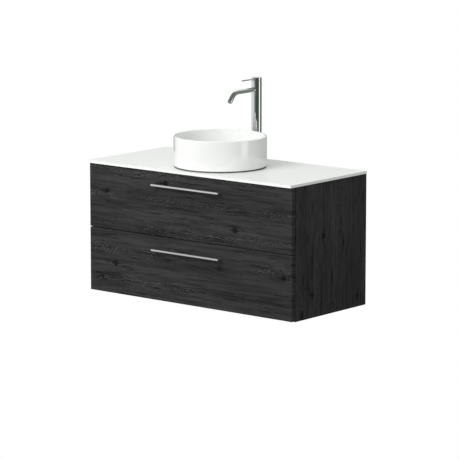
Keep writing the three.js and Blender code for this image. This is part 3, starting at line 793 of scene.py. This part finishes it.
def basin_shadow_bead():
    """A dark bead in the shadow gap round the basin's foot, shaped like a silicone seal to the countertop; its
    dark colour is painted shadow, a dark piece standing in for the contact shadow under the basin.
    """
    low, high = in_mm("basin")
    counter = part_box("countertop")[1].z / MM
    edge = (high.x - low.x) / 2
    inner = edge - BASIN_FOOT_INSET + FIT
    outer = edge - BASIN_SHADOW_BEAD_INSET
    under = counter + BASIN_FOOT_GAP - 0.2
    neck = outer - 1.2
    profile = rounded([(inner, counter + 0.1), (outer, counter + 0.1, 0.3), (neck, counter + 1.8, 1.5),
                       (neck, under, 0.3), (inner, under)])
    shadow_bead = turned(profile, upright(*basin_axis()), BASIN_SEGMENTS)
    finished("basin_seal_bead_painted_shadow", shadow_bead, "waste_seal")


def waste():
    place = upright(*basin_axis())
    low, high = in_mm("waste_body")
    bore = 16.0
    tube = 20.0
    flange = (high.x - low.x) / 2
    body = rounded([(bore, low.z, 0.5), (tube, low.z, 0.5), (tube, high.z - 3),
                    (flange - 1, high.z - 3, 0.4), (flange, high.z - 1.5, 0.6),
                    (flange - 1.2, high.z, 0.8), (bore + 2, high.z, 1.0), (bore, high.z - 3, 1.0)])
    turned_piece("waste_flange_and_tube", "waste_body", body, place)

    low, high = in_mm("waste_plug")
    plug = (high.x - low.x) / 2
    seat = high.z - 5
    stem = 4
    dome = [(0, low.z), (stem - 0.6, low.z), (stem, low.z + 0.6), (stem, seat - 3)]
    dome += rounded([(stem, seat - 3), (bore - 1.5, seat - 2.4, 0.5), (bore - 1.5, seat, 0.3),
                     (plug - 0.3, seat, 0.5), (plug, high.z - 2.2, 1.4), (0, high.z)])[1:-1]
    crown = [(plug * cos(radians(a)), high.z - 1.6 + 1.6 * sin(radians(a))) for a in range(30, 91, 6)]
    dome += [(r, h) for r, h in crown if r > 0.01]
    dome += [(0, high.z)]
    turned_piece("waste_plug_dome", "waste_plug", dome, place, 96, ring=False)

    for node in ("waste_seal", "waste_washer"):
        low, high = in_mm(node)
        outer = (high.x - low.x) / 2
        turned_piece(f"{node}_ring", node, sleeve(tube + FIT, outer, low.z, high.z), place)
    hex_nut("waste_nut", "waste_back_nut", tube + FIT, place)


def hex_nut(node, name, bore, place):
    """A hexagon nut with chamfered corners and a plain bore."""
    low, high = in_mm(node)
    across_corners = (high.x - low.x) / 2
    corner_step = pi / 3

    def shaped(r, h, a):
        """Takes the outer radii in to the flats of a hexagon."""
        swing = (a + corner_step / 2) % corner_step - corner_step / 2
        flat_limit = across_corners * cos(corner_step / 2) / cos(corner_step / 2 - abs(swing))
        return place(min(r, flat_limit), h, a)

    profile = [(bore, low.z), (across_corners - 2, low.z), (across_corners, low.z + 1.2),
               (across_corners, high.z - 1.2), (across_corners - 2, high.z), (bore, high.z)]
    turned_piece(name, node, profile, shaped, 144)


# ---------------------------------------------------------------- bottle trap
PIPE = 16.0
PIPE_WALL = 1.5
TRAP_HEAD = 32.0
TRAP_HEAD_WALL = 4.0
TRAP_NECK = 20.0
GRIP_RIBS = 24
GRIP_DEPTH = 0.7


def ribbed(place, radius):
    """Turns the outermost wall of a slip nut into a ribbed grip."""
    def shaped(r, h, a):
        if r > radius - 0.6:
            r -= GRIP_DEPTH * (0.5 + 0.5 * cos(GRIP_RIBS * a))
        return place(r, h, a)
    return shaped


def trap():
    place = upright(*basin_axis())
    low, high = in_mm("trap_inlet_pipe")
    turned_piece("trap_dip_tube", "trap_inlet_pipe", sleeve(PIPE - PIPE_WALL, PIPE, low.z, high.z), place)

    low, high = in_mm("trap_inlet_nut")
    outer = (high.x - low.x) / 2
    inner = PIPE + FIT
    step = high.z - 13
    seat = TRAP_NECK + FIT
    nut = rounded([(inner, low.z, 0.4), (outer - 2, low.z, 1.0), (outer, low.z + 2, 0.8),
                   (outer, high.z, 1.2), (seat, high.z, 0.4), (seat, step), (inner, step)])
    turned_piece("trap_slip_nut", "trap_inlet_nut", nut, ribbed(place, outer), 192)

    low, high = in_mm("trap_cup")
    outer = (high.x - low.x) / 2
    inside = TRAP_HEAD - TRAP_HEAD_WALL
    cup = [(0, low.z)]
    cup += rounded([(0, low.z), (30, low.z, 9), (30, high.z - 14, 2), (outer, high.z - 13, 1),
                    (outer, high.z, 1), (inside, high.z, 0.6), (inside, high.z - 14, 1),
                    (26, low.z + 8, 4), (20, low.z + 4, 4), (0, low.z + 4)])[1:-1]
    cup += [(0, low.z + 4)]
    turned_piece("trap_bottle_cup", "trap_cup", cup, place, 128, ring=False)
    trap_head()
    trap_outlet()


def trap_head():
    """The bottle's head: a turned shell with a side stub, bored for the dip tube and the outlet."""
    x, y = basin_axis()
    place = upright(x, y)
    low, high = in_mm("trap_body")
    outlet_low, outlet_high = in_mm("trap_outlet_pipe")
    outlet = (outlet_low.z + outlet_high.z) / 2
    bottom = low.z
    top = high.z - 6
    inside = TRAP_HEAD - TRAP_HEAD_WALL
    outer = [(0, bottom)]
    outer += rounded([(0, bottom), (TRAP_HEAD, bottom, 0.6), (TRAP_HEAD, top, 5), (PIPE + 5, top + 2, 2),
                      (PIPE + 5, high.z, 1), (0, high.z)])[1:-1]
    outer += [(0, high.z)]
    shell = turned(outer, place, 128, ring=False)
    across = lying(x, outlet * MM)
    stub_end = y / MM + TRAP_HEAD + 20
    bore = PIPE + 0.4
    stub = rod(PIPE + 3, y / MM, stub_end, across, 96)
    head = combined(shell, stub, "UNION")
    for cut in (rod(inside, bottom - 5, top - 5, place, 128), rod(bore, top - 10, high.z + 4, place, 96),
                rod(bore, y / MM, stub_end + 9, across, 96)):
        head = combined(head, cut, "DIFFERENCE")
    piece = finished("trap_bottle_head", head, "trap_body")
    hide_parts("trap_body")


def trap_outlet():
    low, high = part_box("trap_outlet_pipe")
    place = lying((low.x + high.x) / 2, (low.z + high.z) / 2)
    low, high = in_mm("trap_outlet_pipe")
    turned_piece("trap_wall_tube", "trap_outlet_pipe", sleeve(PIPE - PIPE_WALL, PIPE, low.y, high.y), place)

    low, high = in_mm("trap_outlet_nut")
    outer = (high.x - low.x) / 2
    shoulder = high.y - 7.7
    inner = PIPE + FIT
    nut = rounded([(inner + 3, low.y, 0.4), (outer, low.y, 1.2), (outer, high.y - 2, 0.8),
                   (outer - 2, high.y, 1), (inner, high.y, 0.4), (inner, shoulder), (inner + 3, shoulder)])
    turned_piece("trap_outlet_slip_nut", "trap_outlet_nut", nut, ribbed(place, outer), 192)

    low, high = in_mm("wall_rosette")
    outer = (high.x - low.x) / 2
    rosette = rounded([(inner, low.y, 0.4), (PIPE + 8, low.y, 6), (outer - 8, high.y - 3.2, 9),
                       (outer, high.y - 1, 0.4), (outer, high.y), (inner, high.y)])
    turned_piece("wall_rosette_cover", "wall_rosette", rosette, place, 128)


# ---------------------------------------------------------------- mixer
TAP_WALL = 3.5
TAP_BASE = 14.0
SHANK = 12.0
SHANK_BORE = 8.0
SPOUT_BORE = 7.4
SPOUT_ANGLE = radians(50)
SPOUT_BEND = 45.0
SPOUT_BEND_STEPS = 28


def tap_axis():
    low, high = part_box("tap_column")
    return (low.x + high.x) / 2, (low.y + high.y) / 2


def tilt_height():
    """Height of the axis that the lever and its cap tilt about, in mm."""
    tilt = next(joint for joint in frame["joints"] if joint["name"] == "mixer_flow")
    return tilt["pos_m"][2] / MM


def mixer_column():
    x, y = tap_axis()
    low, high = in_mm("tap_column")
    radius = (high.x - low.x) / 2
    floor = low.z - FIT + TAP_BASE
    hole = SHANK + FIT
    inside = radius - TAP_WALL
    profile = rounded([(hole, low.z, 0.4), (radius, low.z, 0.5), (radius, high.z, 0.25),
                       (inside, high.z, 0.25), (inside, floor, 1.0), (hole, floor, 0.4)])
    column = turned(profile, upright(x, y), 128)
    spout_low, spout_high = in_mm("tap_spout")
    spout = (spout_high.x - spout_low.x) / 2
    front = y / MM - radius
    across = lying(x, (spout_high.z - spout) * MM)
    mouth = rod(spout + FIT, front - 5, front + TAP_WALL + 3, across, 96)
    piece = finished("mixer_column", combined(column, mouth, "DIFFERENCE"), "tap_column")
    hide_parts("tap_column")


def spout_path():
    """The spout's centre line in the YZ plane: straight out, a soft bend, and a straight tip.
    Returns its points and, for each, the distance travelled."""
    low, high = in_mm("tap_spout")
    radius = (high.x - low.x) / 2
    z = high.z - radius
    tip = Vector((low.y + radius * sin(SPOUT_ANGLE), low.z + radius * cos(SPOUT_ANGLE)))
    drop = z - tip.y
    straight = (drop - SPOUT_BEND * (1 - cos(SPOUT_ANGLE))) / sin(SPOUT_ANGLE)
    corner = Vector((tip.x + SPOUT_BEND * sin(SPOUT_ANGLE) + straight * cos(SPOUT_ANGLE), z))
    knee = Vector((corner.x - SPOUT_BEND * tan(SPOUT_ANGLE / 2), z))
    end = Vector((corner.x - SPOUT_BEND * sin(SPOUT_ANGLE), z - SPOUT_BEND * (1 - cos(SPOUT_ANGLE))))
    steps = [k / SPOUT_BEND_STEPS for k in range(SPOUT_BEND_STEPS + 1)]
    bend = [(1 - t) ** 2 * corner + 2 * t * (1 - t) * knee + t * t * end for t in steps]
    points = [Vector((high.y, z)), *bend, tip]
    travelled = [0.0]
    for a, b in zip(points, points[1:]):
        travelled.append(travelled[-1] + (b - a).length)
    return points, travelled


def mixer_spout():
    points, travelled = spout_path()
    low, high = in_mm("tap_spout")
    radius = (high.x - low.x) / 2
    x = (low.x + high.x) / 2

    def along(r, s, a):
        """Places a ring of the tube at distance s along the path."""
        k = next((i for i in range(1, len(travelled) - 1) if travelled[i] > s), len(travelled) - 1)
        share = (s - travelled[k - 1]) / (travelled[k] - travelled[k - 1])
        centre = points[k - 1].lerp(points[k], share)
        here = min(range(len(travelled)), key=lambda i: abs(travelled[i] - s))
        ahead = points[min(here + 1, len(points) - 1)]
        behind = points[max(here - 1, 0)]
        if here in (0, len(points) - 1) or not 1 < here < len(points) - 2:
            ahead, behind = points[k], points[k - 1]
        direction = (ahead - behind).normalized()
        side = Vector((-direction.y, direction.x))
        spot = centre + side * r * sin(a)
        return Vector(((x + r * cos(a)) * MM, spot.x * MM, spot.y * MM))

    length = travelled[-1]
    outer = [(radius, s) for s in travelled[:-1]]
    lip = rounded([(radius, length - 20), (radius, length, 0.7), (SPOUT_BORE, length, 0.7),
                   (SPOUT_BORE, length - 20)])[1:-1]
    inner = [(SPOUT_BORE, s) for s in reversed(travelled[:-1])]
    turned_piece("mixer_spout", "tap_spout", outer + lip + inner, along, 72)
    mixer_aerator(points[-2], points[-1], x)


def mixer_aerator(behind, tip, x):
    """The aerator just inside the tip: a rim round a stepped mesh disc."""
    direction = (behind - tip).normalized()
    side = Vector((-direction.y, direction.x))

    def place(r, h, a):
        spot = tip + direction * h + side * r * sin(a)
        return Vector(((x + r * cos(a)) * MM, spot.x * MM, spot.y * MM))

    radius = SPOUT_BORE - 0.6
    face = [(0, 2.0)]
    for ring in range(1, 6):
        face += [(ring, 2.0), (ring, 2.5), (ring + 0.35, 2.5), (ring + 0.35, 2.0)]
    profile = face + [(radius - 1, 2.0), (radius - 0.8, 1.0), (radius, 1.2), (radius, 10.0), (0, 10.0)]
    turned_piece("mixer_aerator", "tap_aerator", profile, place, 72, ring=False)


def mixer_cap():
    """The lever cap: it overhangs a dome, so its inside is a sphere round the tilt axis."""
    x, y = tap_axis()
    pivot = tilt_height()
    low, high = in_mm("tap_cap")
    radius = (high.x - low.x) / 2
    cavity = hypot(radius - 1, low.z - pivot) + 0.4
    start = degrees(acos((radius - 1) / cavity))
    profile = [(0, high.z)]
    profile += rounded([(0, high.z), (radius, high.z, 0.8), (radius, low.z, 0.3), (radius - 1, low.z)])[1:-1]
    profile += [(r, h) for r, h in arc(0, pivot, cavity, start, 90, 16)[:-1]]
    profile += [(0, pivot + cavity)]
    dome = turned(profile, upright(x, y), 128, ring=False)
    lever_low, lever_high = in_mm("tap_lever")
    pin = (lever_high.x - lever_low.x) / 2
    front = y / MM - radius
    along_lever = lying(x, (lever_low.z + lever_high.z) / 2 * MM)
    socket = rod(pin + FIT, front - 5, lever_high.y + FIT, along_lever, 64)
    piece = finished("mixer_lever_cap", combined(dome, socket, "DIFFERENCE"), "tap_cap")
    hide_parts("tap_cap")

    lever = [(0, lever_low.y)]
    lever += rounded([(0, lever_low.y), (pin, lever_low.y, 1.2), (pin, lever_high.y, 0.3),
                      (0, lever_high.y)])[1:-1]
    lever += [(0, lever_high.y)]
    turned_piece("mixer_pin_lever", "tap_lever", lever, along_lever, 64, ring=False)


def mixer_retaining_ring():
    x, y = tap_axis()
    pivot = tilt_height()
    low, high = in_mm("tap_retaining_ring")
    outer = (high.x - low.x) / 2
    bore = 12.6
    dome = hypot(bore, high.z - pivot)
    foot = sqrt(dome ** 2 - outer ** 2)
    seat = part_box("tap_column")[1].z / MM + FIT
    tube = outer + 0.5 - TAP_WALL - FIT
    start = degrees(atan2(foot, outer))
    end = degrees(acos(bore / dome))
    profile = [(bore, low.z), (tube, low.z), (tube, seat), (outer, seat)]
    profile += arc(0, pivot, dome, start, end, 14)
    turned_piece("mixer_dome_ring", "tap_retaining_ring", profile, upright(x, y), 128)


def mixer_fixing():
    """The hollow threaded shank under the countertop, with its washer and nut."""
    place = upright(*tap_axis())
    low, high = in_mm("tap_shank")
    pitch = 1.5
    depth = 0.5
    thread = []
    turns = int((high.z - low.z - 16) / pitch)
    for k in range(turns):
        z = low.z + 1.0 + k * pitch
        thread += [(SHANK - depth, z), (SHANK, z + pitch / 2)]
    profile = [(SHANK_BORE, low.z), (SHANK - depth, low.z), *thread, (SHANK, high.z), (SHANK_BORE, high.z)]
    turned_piece("mixer_threaded_shank", "tap_shank", profile, place, 72)
    low, high = in_mm("tap_washer")
    outer = (high.x - low.x) / 2
    turned_piece("mixer_shank_washer", "tap_washer", sleeve(SHANK + FIT, outer, low.z, high.z), place)
    hex_nut("tap_nut", "mixer_shank_nut", SHANK + FIT, place)


def carried_over_nodes():
    """CAD nodes that stay as they are get their procedural materials."""
    for node, carried in frame["nodes"].items():
        if carried.hide_render:
            continue
        carried.data.materials.clear()
        carried.data.materials.append(MATERIALS[SLOT_OF[node]])


make_camera()
make_world()
make_key_light()
make_floor()
cabinet_boards()
countertop()
drawers()
basin()
# The dark bead under the basin is painted shadow, standing in for its contact shadow.
basin_shadow_bead()
waste()
trap()
mixer_column()
mixer_spout()
mixer_cap()
mixer_retaining_ring()
mixer_fixing()
carried_over_nodes()
